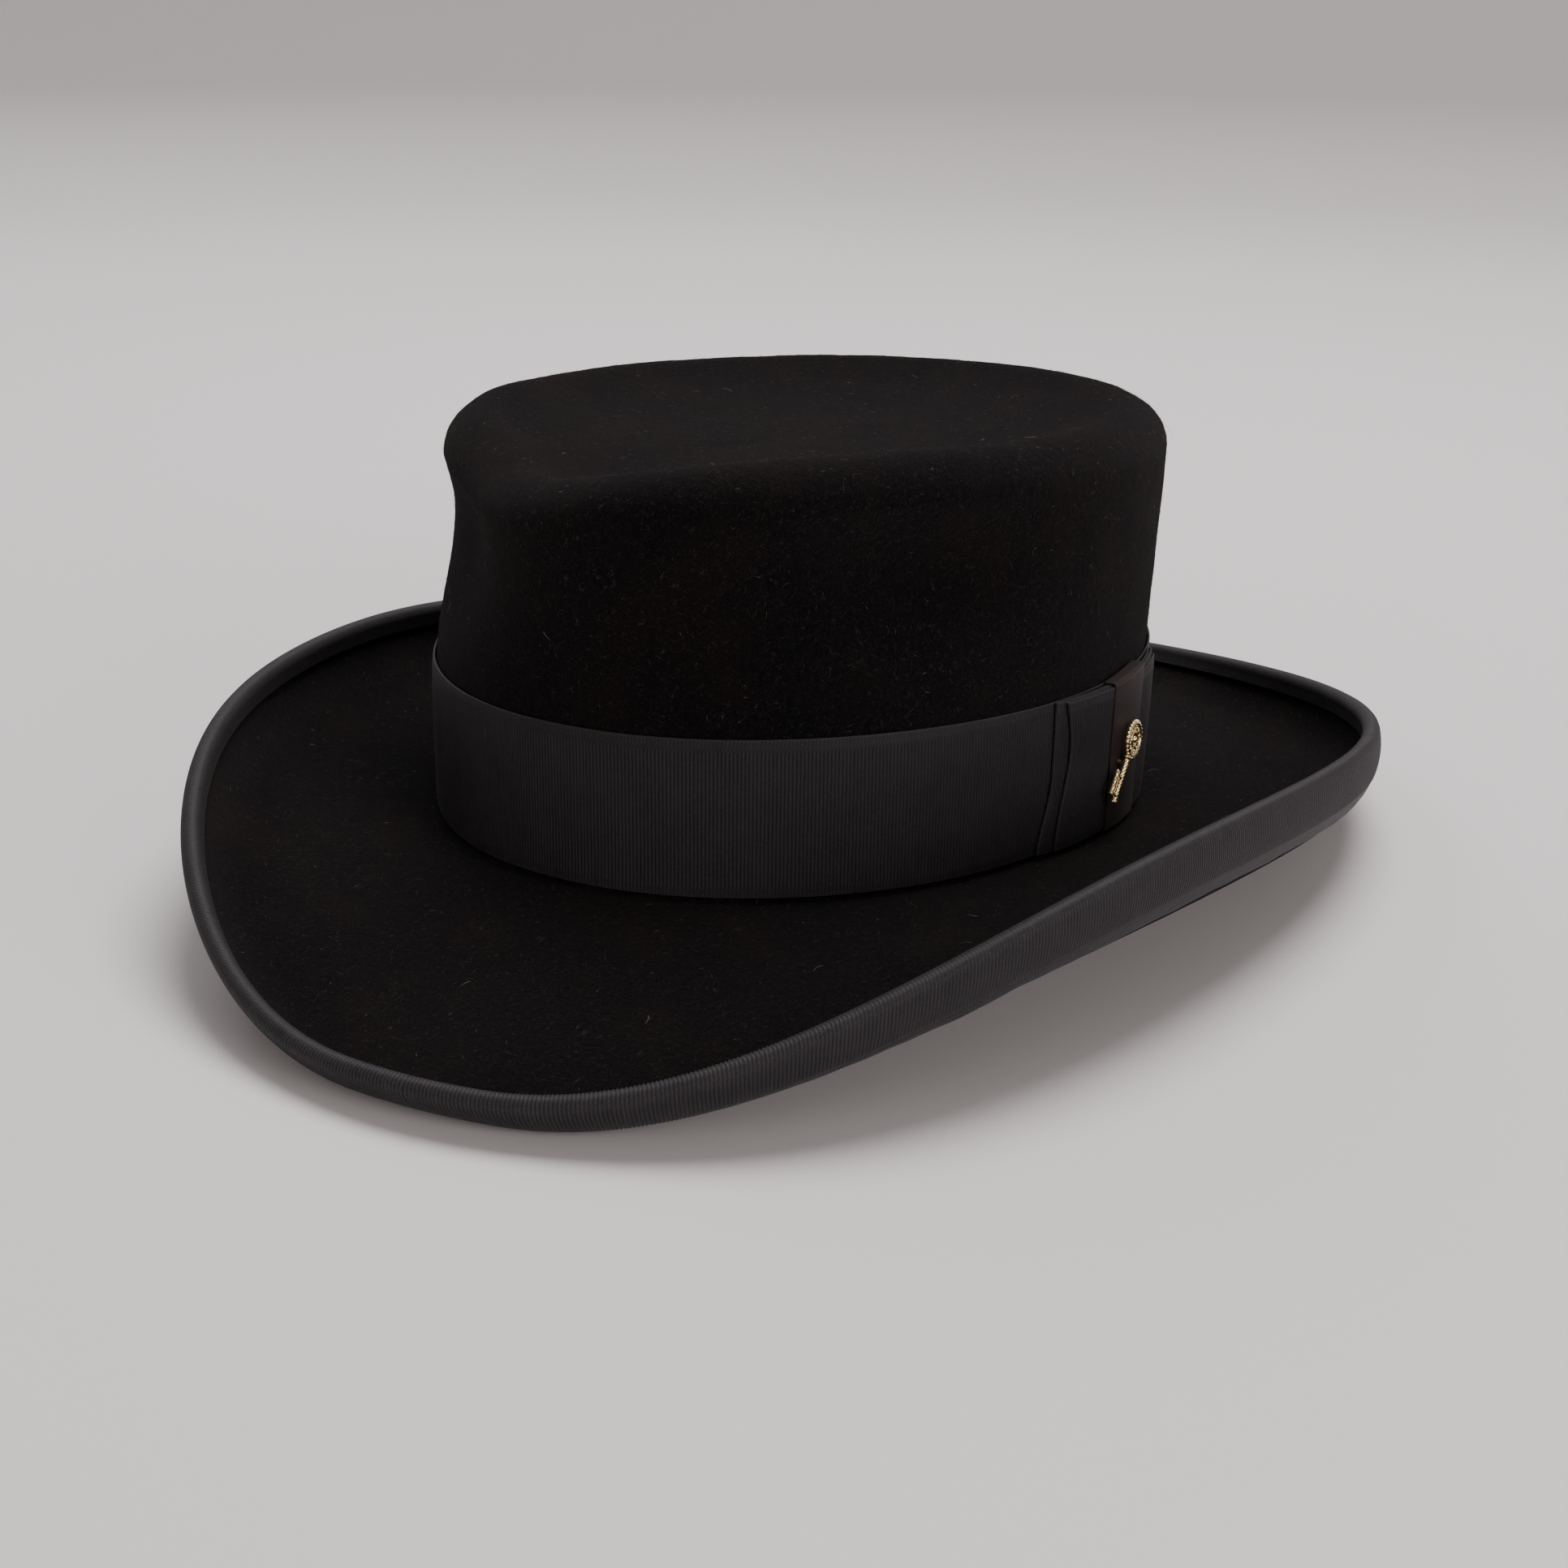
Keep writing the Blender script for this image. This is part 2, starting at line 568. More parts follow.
def make_fibres(name, material, seed, count, length, radius, height):
    """Short curled fibres lying on the felt's upper face, clear of the band and the binding."""
    rng = np.random.default_rng(seed)
    t = np.linspace(0, 2 * np.pi, 400, endpoint=False)
    rows = felt_rows(t, FELT_DETAIL)
    normals = row_normals(rows)
    over = np.roll(rows, -1, axis=1) - rows
    along = np.gradient(rows, axis=0)
    area = np.linalg.norm(np.cross(over, along), axis=-1)
    index = np.arange(len(rows))[:, None]
    area = area * (index > 5) * ((index < FIRST_WALL_ROW - 6) | (rows[..., 2] > BAND_TOP + 1.5))
    pick = rng.choice(area.size, size=count, p=(area / area.sum()).ravel())
    spread = rng.uniform(-0.5, 0.5, (2, count, 1))
    start, beside, ahead, out = (grid.reshape(-1, 3)[pick] for grid in (rows, over, along, normals))
    base = start + beside * spread[0] + ahead * spread[1]
    first = unit(beside)
    second = np.cross(out, first)
    points_each, sides = 6, 3
    s = np.linspace(0, 1, points_each)
    heading = rng.uniform(0, 2 * np.pi, (count, 1)) + rng.normal(0, 1.5, (count, 1)) * (s - 0.5)
    step = length * rng.gamma(4.0, 0.25, (count, 1)) / (points_each - 1)
    x, y = np.cumsum(np.cos(heading) * step, axis=1), np.cumsum(np.sin(heading) * step, axis=1)
    lift = 0.1 + height * rng.uniform(0, 1, (count, 1)) ** 2 * np.sin(np.pi * s)
    path = (base[:, None] + first[:, None] * x[..., None] + second[:, None] * y[..., None]
            + out[:, None] * lift[..., None])
    way = unit(np.gradient(path, axis=1))
    side = np.cross(way, out[:, None])
    angle = 2 * np.pi * np.arange(sides) / sides
    thick = (radius * (1 - 0.6 * s))[None, :, None, None]
    circle = (np.cos(angle)[:, None] * side[:, :, None] + np.sin(angle)[:, None] * out[:, None, None]) * thick
    points = (path[:, :, None] + circle).reshape(-1, 3)
    tube = grid_faces(points_each, sides, False, True)
    size = points_each * sides
    starts = np.arange(count)[:, None, None] * size
    faces = (tube[None] + starts).reshape(-1, 4).tolist()
    for cap in (np.arange(sides), size - 1 - np.arange(sides)):
        faces += (cap[None] + starts[:, 0]).tolist()
    return new_object(name, points, faces, material, slot="felt")


# ---------- grosgrain ----------

def ribs(along, from_edge):
    """Height of the ribs at a distance along the ribbon and in from its nearest selvedge."""
    zigzag = np.abs(((from_edge - BRAID_START) / BRAID_STITCH) % 2 - 1)
    in_braid = (from_edge > BRAID_START) & (from_edge < BRAID_END)
    shift = np.where(in_braid, 0.5 * zigzag, 0.0)
    rib = np.abs(np.sin(np.pi * (along / RIB_PITCH + shift)))
    return RIB_HEIGHT * rib * lerp(0.55, 1.0, smooth(1.0, 2.2, from_edge))


def arc_angles(curve, length_step):
    """Angles spaced evenly along a closed curve, and the length of the curve."""
    fine = np.linspace(0, 2 * np.pi, 8001)
    steps = np.linalg.norm(np.diff(curve(fine), axis=0), axis=1)
    lengths = np.concatenate([[0], np.cumsum(steps)])
    count = int(round(lengths[-1] / length_step))
    even = np.arange(count) * lengths[-1] / count
    return np.interp(even, lengths, fine), lengths[-1]


def across_rows(width):
    """Places across a ribbon, close together at its selvedges."""
    edge = [0, 0.2, 0.5, 0.85, 1.15, 1.4, 1.6, 1.8, 2.05, 2.5]
    middle = np.linspace(3.5, width - 3.5, 9)
    return np.array(edge + middle.tolist() + [width - e for e in reversed(edge)])


def make_band(material):
    """The band round the crown, one strip of ribbon whose ends meet under the bow."""
    t, around = arc_angles(lambda a: wall_point(a, 0), RIB_PITCH / RIB_STEPS)
    across = across_rows(BAND_HEIGHT)
    from_edge = np.minimum(across, BAND_HEIGHT - across)[:, None]
    along = (np.arange(len(t)) * RIB_PITCH / RIB_STEPS)[None, :]
    z = BAND_BOTTOM + across[:, None]
    under_bow = bell(np.degrees(t)[None, :], BOW_CENTRE, BOW_HALF_SPAN + 6)
    loose = 0.1 * np.maximum(0, 1 + waves(11, along, 0, 0, 60)) * smooth(6, 0, from_edge) * (1 - under_bow)
    front = wall_point(t[None, :], z, BAND_CLEARANCE + BAND_THICKNESS + loose + ribs(along, from_edge))
    back = wall_point(t[None, :], z, BAND_CLEARANCE + loose)
    band = ring_object("crown_band", front, back, material, slot="grosgrain")
    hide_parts("crown_ribbon")


def ribbon_from_path(name, path, along, across, material, rib_height, node, width):
    """A folded ribbon. path is its middle layer, rows across by columns along, in the upright frame."""
    way = unit(np.cross(np.gradient(path, axis=1), np.gradient(path, axis=0)))
    inside = np.minimum(across, width - across)[:, None]
    rib = ribs(along, inside) * rib_height / RIB_HEIGHT
    front = path + way * (RIBBON / 2 + rib)[..., None]
    back = path - way * (RIBBON / 2)
    ribbon = strip_object(name, front, back, material, slot="grosgrain")
    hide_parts(node)


def make_loop(name, node, back_offset, front_offset, front_end, rear_end, trim, material):
    """A loop of ribbon flattened against the band, its open ends meeting behind the knot.

    front_end and rear_end give the angles of its two folds at each height."""
    across = across_rows(BAND_HEIGHT - 2 * trim)
    z = (BAND_BOTTOM + trim + across)[:, None]
    reach = math.radians(BOW_HALF_SPAN) * HALF_LENGTH
    radius = (front_offset - back_offset) / 2
    half = reach - radius
    straight = np.arange(0.3, half, RIB_PITCH / RIB_STEPS)
    turn = np.linspace(0, np.pi, 9)[1:-1]
    middle = (front_offset + back_offset) / 2
    u = np.concatenate([-straight, -half - radius * np.sin(turn), -straight[::-1],
                        straight, half + radius * np.sin(turn), straight[::-1]])
    offset = np.concatenate([0 * straight + back_offset, middle - radius * np.cos(turn),
                             0 * straight + front_offset, 0 * straight + front_offset,
                             middle + radius * np.cos(turn), 0 * straight + back_offset])
    part = u[None, :] / reach
    ends = np.where(part < 0, BOW_CENTRE - front_end(z), rear_end(z) - BOW_CENTRE)
    t = np.radians(BOW_CENTRE + part * ends)
    rise = BOW_RISE * np.maximum(0, np.cos(np.pi / 2 * part)) ** 0.7
    gape = 0.35 * smooth(BAND_TOP - 7, BAND_TOP, z) * np.cos(np.pi / 2 * part)
    path = wall_point(t, z, offset[None, :] + rise + gape)
    steps = np.linalg.norm(np.diff(path[len(across) // 2], axis=0), axis=1)
    along = np.concatenate([[0], np.cumsum(steps)])[None, :]
    ribbon_from_path(name, path, along, across, material, RIB_HEIGHT, node, BAND_HEIGHT - 2 * trim)


def make_bow(material, knot_material):
    make_loop(
        "bow_under_ribbon", "bow_under_loop", *UNDER_LOOP_LAYERS,
        lambda z: UNDER_FRONT_FOLD + 2.4 * smooth(0, 20, z),
        lambda z: UNDER_REAR_FOLD + 0.4 * smooth(0, 38, z), 0, material)
    make_loop(
        "bow_top_ribbon", "bow_top_loop", *TOP_LOOP_LAYERS,
        lambda z: TOP_FRONT_FOLD + 2.3 * bell(z, 26, 14),
        lambda z: TOP_REAR_FOLD + 0.6 * bell(z, 20, 16), TOP_LOOP_TRIM, material)
    width = 2 * math.radians(KNOT_HALF_SPAN) * HALF_LENGTH
    across = across_rows(width)
    part = (across / width * 2 - 1)[:, None]
    t = np.radians(BOW_CENTRE + KNOT_HALF_SPAN * part)
    low, high, near, radius = BAND_BOTTOM - 0.4, BAND_TOP + 1.1, 1.1, 0.7
    far = KNOT_OFFSET
    turn = np.radians(np.arange(0, 91, 15))
    top_out = np.linspace(near, far - radius, 8)
    front_z = np.linspace(high - radius, low + radius, 120)
    offset = np.concatenate([top_out, far - radius + radius * np.sin(turn), 0 * front_z + far,
                             far - radius + radius * np.cos(turn), top_out[::-1]])
    z = np.concatenate([0 * top_out + high, high - radius + radius * np.cos(turn), front_z,
                        low + radius - radius * np.sin(turn), 0 * top_out + low])
    keep = np.concatenate([[True], np.hypot(np.diff(offset), np.diff(z)) > 1e-6])
    offset, z = offset[keep], z[keep]
    crown = 0.25 * (1 - part ** 2) * smooth(2.0, far, offset)[None, :]
    height = z[None, :] + 0.7 * part * smooth(20, 38, z)[None, :]
    path = wall_point(t, height, offset[None, :] + crown)
    along = np.concatenate([[0], np.cumsum(np.hypot(np.diff(offset), np.diff(z)))])[None, :]
    ribbon_from_path("bow_knot_ribbon", path[::-1], along, across, knot_material, 0.05, "bow_knot", width)


def make_binding(material):
    """The ribbon folded over the brim's edge, its ribs running across the edge."""
    t, around = arc_angles(brim_edge, RIB_PITCH / BINDING_RIB_STEPS)
    steps = 12
    face = np.array(brim_rows(t, steps, 1, 1))[:steps + 1]
    normals = unit(np.cross(np.roll(face, -1, axis=1) - np.roll(face, 1, axis=1), np.gradient(face, axis=0)))
    outward = unit(face[0] - face[1])
    middle = face[0] - normals[0] * FELT / 2
    rows, ways, depths = [], [], []
    for k in np.linspace(0, BINDING_ABOVE / BINDING_WIDTH * steps, 9)[:0:-1]:
        low = int(k)
        way = unit(lerp(normals[low], normals[low + 1], k - low))
        rows.append(lerp(face[low], face[low + 1], k - low) + way * BINDING_GAP)
        ways.append(way)
        depths.append(BINDING_ABOVE - BINDING_WIDTH * k / steps)
    for k in range(9):
        angle = np.pi * k / 8
        way = normals[0] * math.cos(angle) + outward * math.sin(angle)
        rows.append(middle + way * (FELT / 2 + BINDING_GAP))
        ways.append(way)
        depths.append(BINDING_ABOVE + (FELT / 2 + BINDING_GAP) * angle)
    for k in np.linspace(0, steps, 2 * steps + 1)[1:]:
        low = min(int(k), steps - 1)
        way = -unit(lerp(normals[low], normals[low + 1], k - low))
        rows.append(lerp(face[low], face[low + 1], k - low) + way * (FELT + BINDING_GAP))
        ways.append(way)
        depths.append(BINDING_ABOVE + (FELT / 2 + BINDING_GAP) * np.pi + BINDING_WIDTH * k / steps)
    rows, ways = np.array(rows), np.array(ways)
    depth = np.array(depths)[:, None]
    width = depth[-1, 0]
    from_outer = width - depth
    along = (np.arange(len(t)) * RIB_PITCH / BINDING_RIB_STEPS)[None, :]
    rib = np.abs(np.sin(np.pi * along / RIB_PITCH))
    main = RIB_HEIGHT * 1.3 * rib * smooth(BINDING_SELVEDGE, BINDING_SELVEDGE + 0.5, from_outer)
    slanted = np.abs(np.sin(np.pi * (along / RIB_PITCH + 0.35 * from_outer)))
    braid = 0.10 * slanted * smooth(BINDING_SELVEDGE - 0.2, BINDING_SELVEDGE - 0.8, from_outer)
    groove = -0.10 * bell(from_outer, BINDING_SELVEDGE + 0.1, 0.35)
    top_fade = lerp(0.5, 1.0, smooth(0, 1.5, depth))
    wavy = 0.12 * waves(21, along, 0, 0, 9) * smooth(2.0, 0.0, from_outer)
    lift = BINDING_THICKNESS + (main + braid) * top_fade + groove + wavy
    front = rows + ways * lift[..., None]
    binding = ring_object("edge_binding", front, rows, material, slot="grosgrain", on_floor=True)
    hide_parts("brim_binding")


# ---------- inside ----------

ROUND = np.linspace(0, 2 * np.pi, 720, endpoint=False)


def inside_point(t, z, offset):
    """A point inside the crown, offset in from the felt's inner face."""
    return wall_point(t, z, -FELT - offset)


def tube_ring(name, path, radius, material, **facts):
    """A tube round the crown along path. radius is a number or one value for each angle."""
    angle = np.linspace(0, 2 * np.pi, 14, endpoint=False)[:, None]
    t = np.linspace(0, 2 * np.pi, path.shape[0], endpoint=False)
    out = oval_normal(t) * radius_column(radius, len(t))
    rise = xyz(0 * t, 0 * t, 1) * radius_column(radius, len(t))
    rows = path + np.cos(angle)[..., None] * out + np.sin(angle)[..., None] * rise
    return new_object(name, rows, grid_faces(len(angle), len(t), True, True), material, **facts)


def radius_column(radius, count):
    return np.broadcast_to(np.asarray(radius, dtype=float), (count,))[:, None]


def make_sweatband(material, thread):
    """The leather band: bowed a little, rolled at its top edge and creased along its stitching."""
    low, high = [SWEATBAND_BOTTOM, -0.6, 0.2, 1.0, 1.5, 2.0, 2.5, 3.2, 4.5], [37.2, 37.8, SWEATBAND_TOP]
    z = np.array([*low, *np.linspace(7, 36, 12), *high])
    t = ROUND[None, :]
    height = z[:, None]
    uneven = 0.12 * waves(31, *np.moveaxis(wall_point(t, height), -1, 0), 40)
    bow = 0.25 * np.sin(np.pi * np.clip(height / SWEATBAND_TOP, 0, 1)) * (1 + uneven)
    crease = -0.22 * bell(height, STITCH_HEIGHT, 0.45)
    rim = 0.35 * smooth(36.8, 38.0, height)
    head_side = inside_point(t, height, SWEATBAND_OFFSET + LEATHER + bow + crease - rim)
    felt_side = inside_point(t, height, SWEATBAND_OFFSET + bow + rim * 0.4)
    band = ring_object("sweatband_leather", felt_side, head_side, material, slot="leather")
    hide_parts("sweatband")
    points, faces = [], []
    angle = np.linspace(0, 2 * np.pi, STITCH_SIDES + 1)[:-1]
    for centre in np.linspace(0, 2 * np.pi, STITCH_COUNT, endpoint=False):
        along = np.linspace(-1, 1, STITCH_STEPS)
        bearing = centre + STITCH_HALF_ANGLE * along
        path = inside_point(bearing, STITCH_HEIGHT, SWEATBAND_OFFSET + LEATHER - 0.1)
        bulge = 0.2 * np.sqrt(np.maximum(0.08, 1 - along ** 2))
        out = oval_normal(bearing)
        circle = np.cos(angle)[:, None, None] * out + np.sin(angle)[:, None, None] * [0, 0, 1]
        stitch = path + circle * bulge[:, None]
        first = len(points) * stitch.shape[0] * stitch.shape[1]
        points.append(stitch.reshape(-1, 3))
        faces += (grid_faces(STITCH_SIDES, STITCH_STEPS, True, False) + first).tolist()
        for end in (first, first + STITCH_STEPS - 1):
            faces.append([end + k * STITCH_STEPS for k in range(STITCH_SIDES)])
    new_object("sweatband_stitches", np.concatenate(points), faces, thread, slot="leather")


def make_reed(material):
    t = np.linspace(0, 2 * np.pi, 2600, endpoint=False)
    path = wall_point(t, 0, -FELT - SWEATBAND_OFFSET - LEATHER / 2)
    path[:, 2] = SWEATBAND_BOTTOM - REED_RADIUS - 0.3
    weave = REED_RADIUS - 0.05 + 0.05 * np.sin(650 * t)
    reed = tube_ring("reed_cord", path, weave, material, slot="reed")
    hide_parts("sweatband_reed")


def make_lining(material):
    """The satin: a gathered side, a flat tip and a piped seam between them."""
    t = ROUND[None, :]
    z = np.linspace(LINING_BOTTOM, LINING_TOP, 26)[:, None]
    soft = waves(41, HALF_WIDTH * np.sin(t), HALF_LENGTH * np.cos(t), z * 0.4, 22)
    gathers = 0.5 + 0.5 * np.sin(GATHER_COUNT * t + 0.8 * soft)
    fold = 0.55 * gathers * smooth(LINING_TOP, LINING_TOP - 30, z) ** 0.5 + 0.1 * (1 + soft)
    fold = np.maximum(0, fold) * smooth(SWEATBAND_TOP - 8, SWEATBAND_TOP + 6, z)
    outer = inside_point(t, z, LINING_GAP + fold)
    inner = inside_point(t, z, LINING_GAP + SATIN + fold)
    side = ring_object("lining_wall", outer, inner, material, slot="satin")
    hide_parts("lining_side")
    around = arc_angles(lambda a: inside_point(a, 50, 1.1), RIB_PITCH)[1]

    inset = LINING_GAP + 2 * PIPING_RADIUS + 0.6
    rim = inside_point(ROUND, LINING_TOP, inset)
    layers = []
    for drop in (0.0, SATIN):
        rows = []
        for scale in np.linspace(1, 0, 30):
            pucker = 0.12 * np.sin(90 * ROUND) * math.exp(-(1 - scale) / 0.05)
            row = rim * scale
            row[:, 2] = LINING_TOP - TIP_DROP - drop - TIP_SAG * (1 - scale ** 2) + pucker * scale
            rows.append(row)
        layers.append(np.array(rows))
    tip = ring_object("lining_top", layers[0], layers[1], material, slot="satin")
    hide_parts("lining_tip")

    t = np.linspace(0, 2 * np.pi, 1800, endpoint=False)
    path = wall_point(t, LINING_TOP, -FELT - LINING_GAP - PIPING_RADIUS)
    path[:, 2] += PIPING_RADIUS + 0.3
    cord = tube_ring("lining_seam_piping", path, 0.93 + 0.06 * np.sin(380 * t), material, slot="satin")
    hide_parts("lining_piping")


def make_back_bow(material):
    """The little satin bow at the back of the sweatband: two notched ends and a knot."""
    low, high = (np.array(corner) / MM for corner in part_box("sweatband_bow"))
    middle = (low + high) / 2
    reach, half_height = (high[0] - low[0]) / 2, (high[2] - low[2]) / 2
    u = np.linspace(0, 1, 26)[None, :]
    v = np.linspace(-1, 1, 19)[:, None]
    for name, side in (("back_bow_left", 1), ("back_bow_right", -1)):
        notch = 1.3 * (1 - np.abs(v)) * smooth(0.6, 1.0, u)
        x = side * (BACK_KNOT_REACH + (reach - BACK_KNOT_REACH) * u - notch)
        z = v * lerp(0.38, 1.0, u) * half_height
        puff = 0.45 * np.sin(np.pi * np.clip(u * 0.9, 0, 1)) * (1 - v ** 2)
        pleat = 0.16 * np.cos(v * 8.5) * (1 - u) * smooth(0, 0.15, u)
        y = -(0.35 + puff + pleat)
        front = xyz(x + middle[0], y - 0.3 + high[1] - 0.1, z + middle[2])
        back = xyz(x + middle[0], y + high[1] - 0.1, z + middle[2])
        wing = strip_object(name, front, back, material, slot="satin", upright=False)
        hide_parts("sweatband_bow")
    sides, columns = 40, 15
    angle = np.linspace(0, 2 * np.pi, sides, endpoint=False)[:, None]
    across = np.linspace(-1, 1, columns)[None, :]
    swell = 1 - 0.12 * np.abs(across) ** 3
    ridge = 1 + 0.05 * np.cos(across * 9)
    x = across * 2.0 + 0 * angle
    y = -0.9 - 0.85 * np.cos(angle) * swell * ridge
    z = 2.4 * np.sign(np.sin(angle)) * np.abs(np.sin(angle)) ** 0.7 * swell
    points = xyz(x + middle[0], y + high[1] + 0.05, z + middle[2])
    faces = grid_faces(sides, columns, True, False).tolist()
    for end in (0, columns - 1):
        faces.append([end + k * columns for k in range(sides)])
    knot = new_object("back_bow_knot", points, faces, material, slot="satin", upright=False)
    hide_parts("sweatband_bow")


# ---------- ornament ----------

def rod(path, radii, sides=16, flat=1.0):
    """A round rod with closed ends along points in the key's plane, as points and faces."""
    path = np.array(path, dtype=float)
    along = unit(np.gradient(path, axis=0))
    up = np.array([0.0, 0.0, 1.0])
    side = unit(np.cross(along, up))
    angle = np.linspace(0, 2 * np.pi, sides, endpoint=False)[:, None, None]
    radii = np.broadcast_to(np.asarray(radii, dtype=float), (len(path),))[:, None]
    points = path + np.cos(angle) * side * radii + np.sin(angle) * up * radii * flat
    count = len(path)
    faces = grid_faces(sides, count, True, False).tolist()
    faces += [[k * count for k in range(sides)], [k * count + count - 1 for k in range(sides)]]
    return points.reshape(-1, 3), faces


def hoop(centre, radius, thickness, flat=1.0, sides=14, count=72):
    a = np.linspace(0, 2 * np.pi, count, endpoint=False)[None, :, None]
    b = np.linspace(0, 2 * np.pi, sides, endpoint=False)[:, None, None]
    out = np.concatenate([np.sin(a), np.cos(a), 0 * a], axis=-1)
    points = out * (radius + thickness * np.cos(b)) + np.array([0, 0, 1.0]) * thickness * flat * np.sin(b)
    return (points + centre).reshape(-1, 3), grid_faces(sides, count, True, True).tolist()


def bead(centre, radius, flat=1.0):
    z = np.linspace(-1, 1, 9) * 0.995
    path = np.array([centre] * 9, dtype=float)
    path[:, 1] += z * radius
    return rod(path, radius * np.sqrt(1 - z ** 2), 14, flat)


def make_key(material):
    """The key: a beaded, pierced round head, a ringed collar and stem, and a double bit."""
    middle = KEY_THICKNESS / 2
    head = np.array([0, KEY_HEAD, middle])
    rim, hub = hoop(head, KEY_HEAD_RADIUS, 0.55, 1.2), hoop(head, KEY_HUB_RADIUS, 0.42)
    pieces = [rim, hub, bead(head + [0, 0, 0.1], 1.0, 0.9)]
    for k in range(KEY_BEADS):
        angle = 2 * np.pi * k / KEY_BEADS
        place = [KEY_BEAD_RING * math.sin(angle), KEY_BEAD_RING * math.cos(angle), 0.15]
        pieces.append(bead(head + place, 0.5))
    for k in range(KEY_SPOKES):
        angle = 2 * np.pi * (k + 0.5) / KEY_SPOKES
        way = np.array([math.sin(angle), math.cos(angle), 0])
        spoke = [head + way * r for r in np.linspace(1.9, 3.9, 7)]
        pieces.append(rod(spoke, 0.26 + 0.1 * np.cos(np.linspace(0, 2 * np.pi, 7))))
        pieces.append(bead(head + way * 2.95 + [0, 0, 0.25], 0.36))
    for y, radius in ((2.0, 0.95), (1.2, 1.75), (0.45, 1.1)):
        pieces.append(rod([(0, y + d, middle) for d in np.linspace(-0.42, 0.42, 9)],
                          radius * np.sqrt(1 - 0.6 * np.linspace(-1, 1, 9) ** 2), 20, 0.5))
    s = np.linspace(0, 1, 90)
    stem = np.stack([0 * s, lerp(KEY_STEM_TOP, KEY_STEM_FOOT, s), 0 * s + middle], axis=-1)
    turned = 0.66 + 0.16 * np.abs(np.sin(np.pi * s * 13)) + 0.14 * bell(s, 0.96, 0.03)
    pieces.append(rod(stem, turned))
    for y in (-4.4, -9.2):
        arm = [(x, y, middle) for x in np.linspace(0, -KEY_BIT_REACH, 12)]
        pieces.append(rod(arm, 0.5 + 0.08 * np.sin(np.linspace(0, 9, 12))))
    outer_bar = [(-3.4, y, middle) for y in np.linspace(-10.0, -3.6, 30)]
    pieces.append(rod(outer_bar, 0.58 + 0.05 * np.cos(np.linspace(0, 22, 30))))
    pieces.append(rod([(-1.6, y, middle) for y in np.linspace(-9.0, -4.6, 18)], 0.30))
    points, faces = [], []
    for part_points, part_faces in pieces:
        first = sum(len(p) for p in points)
        points.append(part_points)
        faces += [[first + k for k in face] for face in part_faces]
    local = np.concatenate(points)
    lean = math.radians(PIN_LEAN)
    right = local[:, 0] * math.cos(lean) + local[:, 1] * math.sin(lean)
    rise = local[:, 1] * math.cos(lean) - local[:, 0] * math.sin(lean)
    t = np.array(math.radians(PIN_ANGLE))
    out = oval_normal(t)
    across = np.cross([0, 0, 1], out)
    base = wall_point(t, PIN_HEIGHT, PIN_BASE)
    world = base + right[:, None] * across + rise[:, None] * [0, 0, 1] + local[:, 2:] * out
    key = new_object("key_ornament", world, faces, material, body="pin", slot="gilt")
    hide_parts("pin_ornament")


def finish_cad_pieces(material, *nodes):
    """Gives CAD pieces that keep their shape a detailed material."""
    for name in nodes:
        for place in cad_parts[name].material_slots:
            place.material = material


# ---------- scene ----------

CAMERA_AZIMUTH, CAMERA_HEIGHT, CAMERA_DISTANCE = 24.26, 177.26, 584.09
CAMERA_PITCH, CAMERA_YAW, CAMERA_ROLL, CAMERA_LENS = 17.22, 0.27, 0.75, 52.73


def make_camera():
    """Looks at the hat from its front left. The angles are in the crown's own upright frame."""
    azimuth = math.radians(CAMERA_AZIMUTH)
    place = Vector((CAMERA_DISTANCE * math.sin(azimuth), -CAMERA_DISTANCE * math.cos(azimuth), CAMERA_HEIGHT))
    heading = math.radians(CAMERA_AZIMUTH + CAMERA_YAW)
    pitch, roll = math.radians(CAMERA_PITCH), math.radians(CAMERA_ROLL)
    level = math.cos(pitch)
    forward = Vector((-math.sin(heading) * level, math.cos(heading) * level, -math.sin(pitch)))
    right = forward.cross(Vector((0, 0, 1))).normalized()
    up = right.cross(forward)
    turned_right = right * math.cos(roll) + up * math.sin(roll)
    turned_up = up * math.cos(roll) - right * math.sin(roll)
    axes = Matrix([tilt() @ turned_right, tilt() @ turned_up, tilt() @ -forward]).transposed()
    data = bpy.data.cameras.new("camera")
    data.lens = CAMERA_LENS
    data.sensor_width = 36
    camera = bpy.data.objects.new("camera", data)
    camera.matrix_world = Matrix.Translation(to_cad() @ place) @ axes.to_4x4()
    bpy.context.scene.collection.objects.link(camera)
    bpy.context.scene.camera = camera


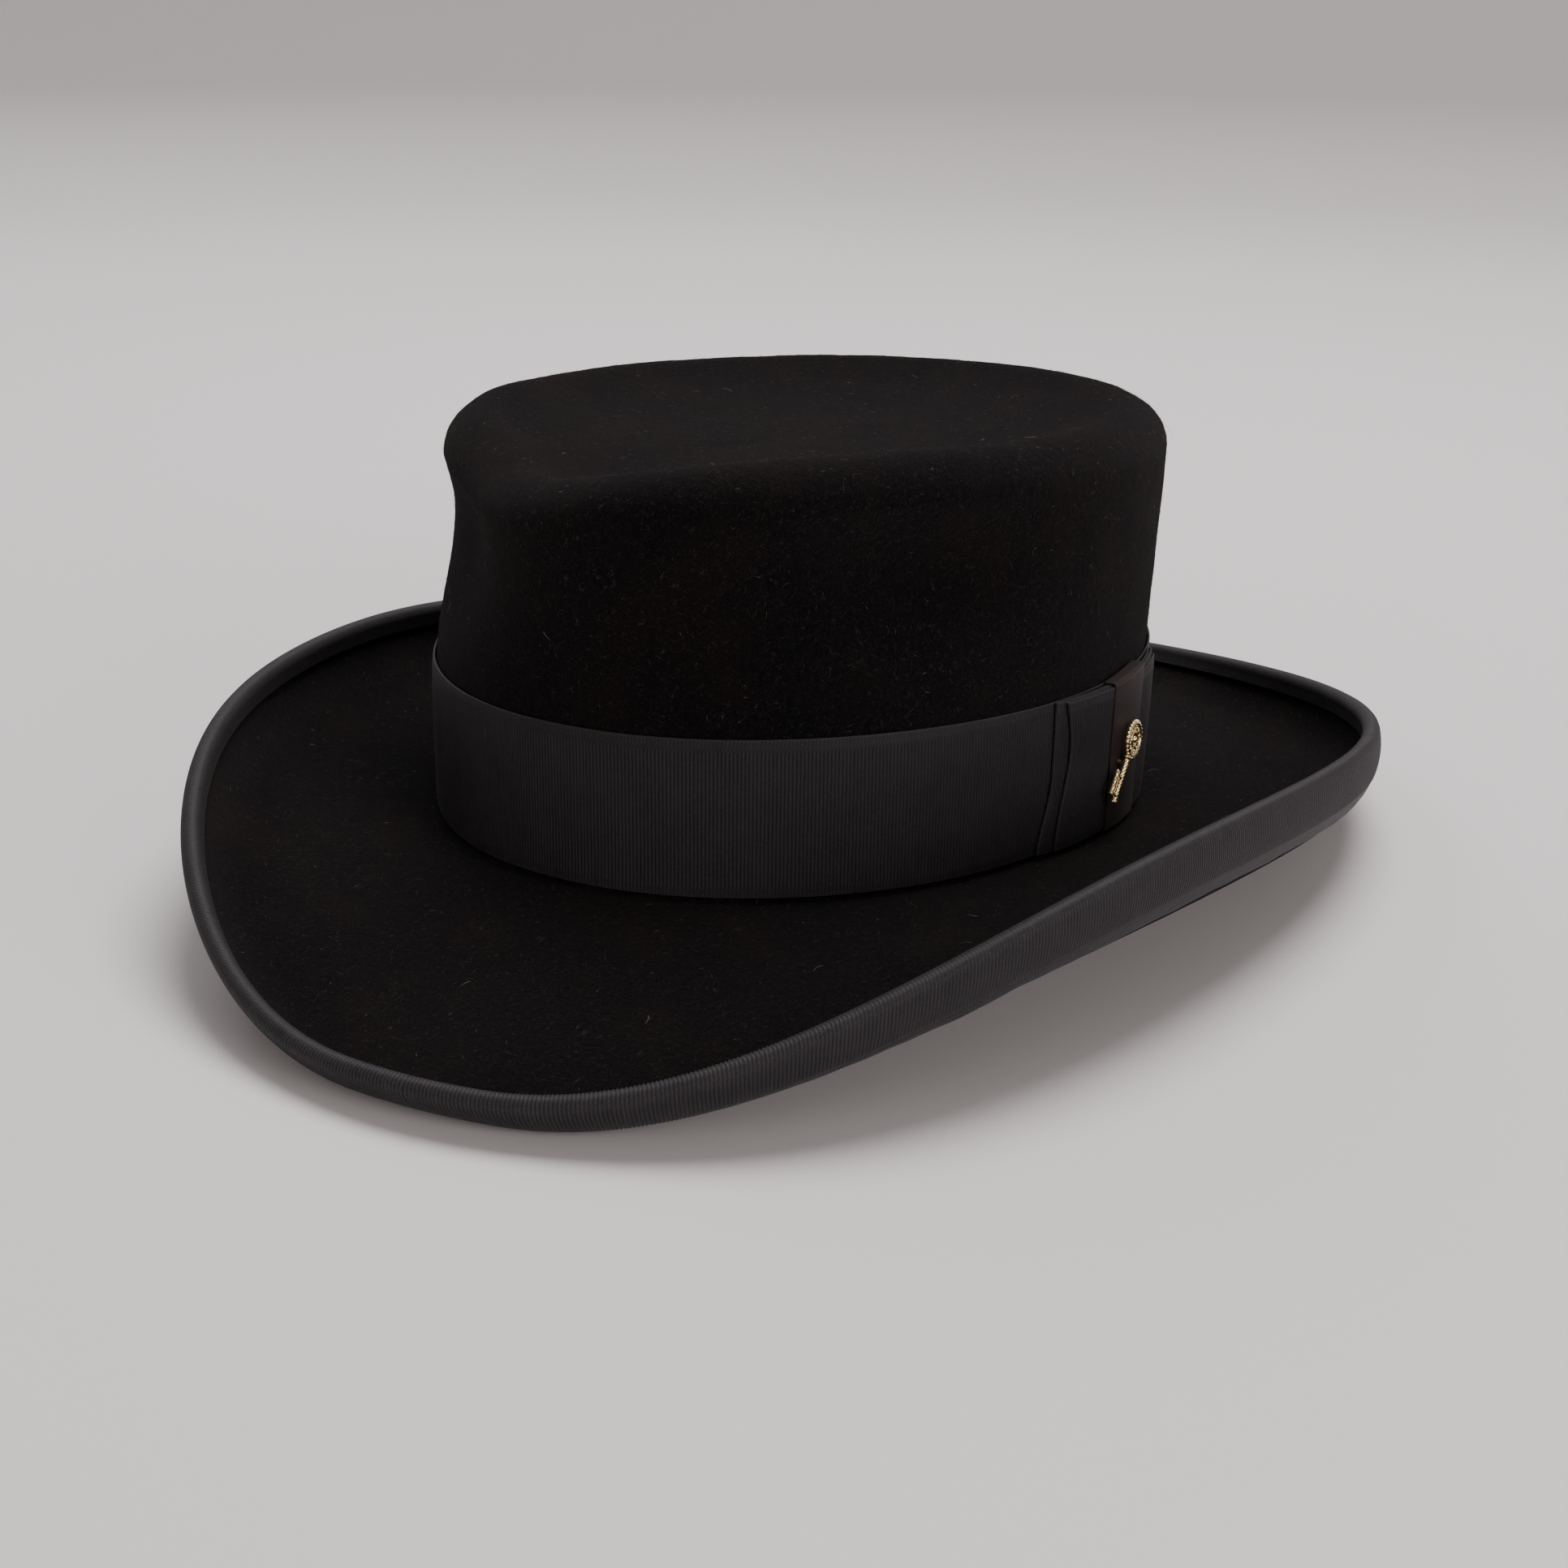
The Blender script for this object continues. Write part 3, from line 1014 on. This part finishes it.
def make_stage():
    """A pale floor that curves up into a backdrop on every side."""
    n = Nodes("pale_floor")
    n.set(base_color=(0.74, 0.71, 0.70, 1), roughness=0.8)
    radii = [0, 1.6, 2.4, 2.8, 3.0, 3.0]
    heights = [0, 0, 0.05, 0.35, 1.0, 3.5]
    t = np.linspace(0, 2 * np.pi, 64, endpoint=False)
    rows = np.array([xyz(r * np.sin(t), -r * np.cos(t), h) for r, h in zip(radii, heights)])
    mesh = bpy.data.meshes.new("floor")
    mesh.from_pydata(rows.reshape(-1, 3).tolist(), [], grid_faces(len(radii), len(t), False, True).tolist())
    mesh.shade_smooth()
    mesh.materials.append(n.material)
    floor = bpy.data.objects.new("floor", mesh)
    bpy.context.scene.collection.objects.link(floor)


def make_light(name, place, size, power, colour=(1, 1, 1), target=(0, 0, 0.06)):
    data = bpy.data.lights.new(name, "AREA")
    data.shape = "DISK"
    data.size = size
    data.energy = power
    data.color = colour
    light = bpy.data.objects.new(name, data)
    light.location = place
    light.rotation_euler = (Vector(target) - Vector(place)).to_track_quat("-Z", "Y").to_euler()
    bpy.context.scene.collection.objects.link(light)


def make_lights():
    make_light("overhead", (0.1, 0.6, 1.9), 1.3, 44, (1.0, 0.97, 0.985))
    make_light("window", (-1.3, 0.9, 1.3), 1.2, 8, (0.97, 0.98, 1.0))
    make_light("side", (1.5, -0.72, 0.55), 0.9, 13, (1.0, 0.95, 0.94))
    make_light("front_fill", (-0.5, -1.8, 0.9), 1.0, 3, (1.0, 0.97, 0.97))
    world = bpy.data.worlds.new("studio")
    world.use_nodes = True
    world.node_tree.nodes["Background"].inputs["Color"].default_value = (1.0, 0.93, 0.97, 1)
    world.node_tree.nodes["Background"].inputs["Strength"].default_value = 0.2
    bpy.context.scene.world = world


make_camera()
make_stage()
make_lights()

felt = felt_material()
grosgrain = grosgrain_material("grosgrain", (1.0, 1.0, 1.0))
knot_ribbon = grosgrain_material("grosgrain_knot", (0.85, 0.62, 0.5))
leather = leather_material()
satin = satin_material()
gilt = gilt_material()
make_felt(felt)
make_fibres("felt_fibres", fibre_material(), 77, 11000, 1.3, 0.045, 0.3)
make_fibres("felt_lint", lint_material(), 78, 46, 2.6, 0.05, 0.5)
make_band(grosgrain)
make_bow(grosgrain, knot_ribbon)
make_binding(grosgrain)
make_sweatband(leather, thread_material())
make_reed(reed_material())
make_lining(satin)
make_back_bow(satin)
make_key(gilt)
finish_cad_pieces(gilt, "pin_post", "pin_clutch")
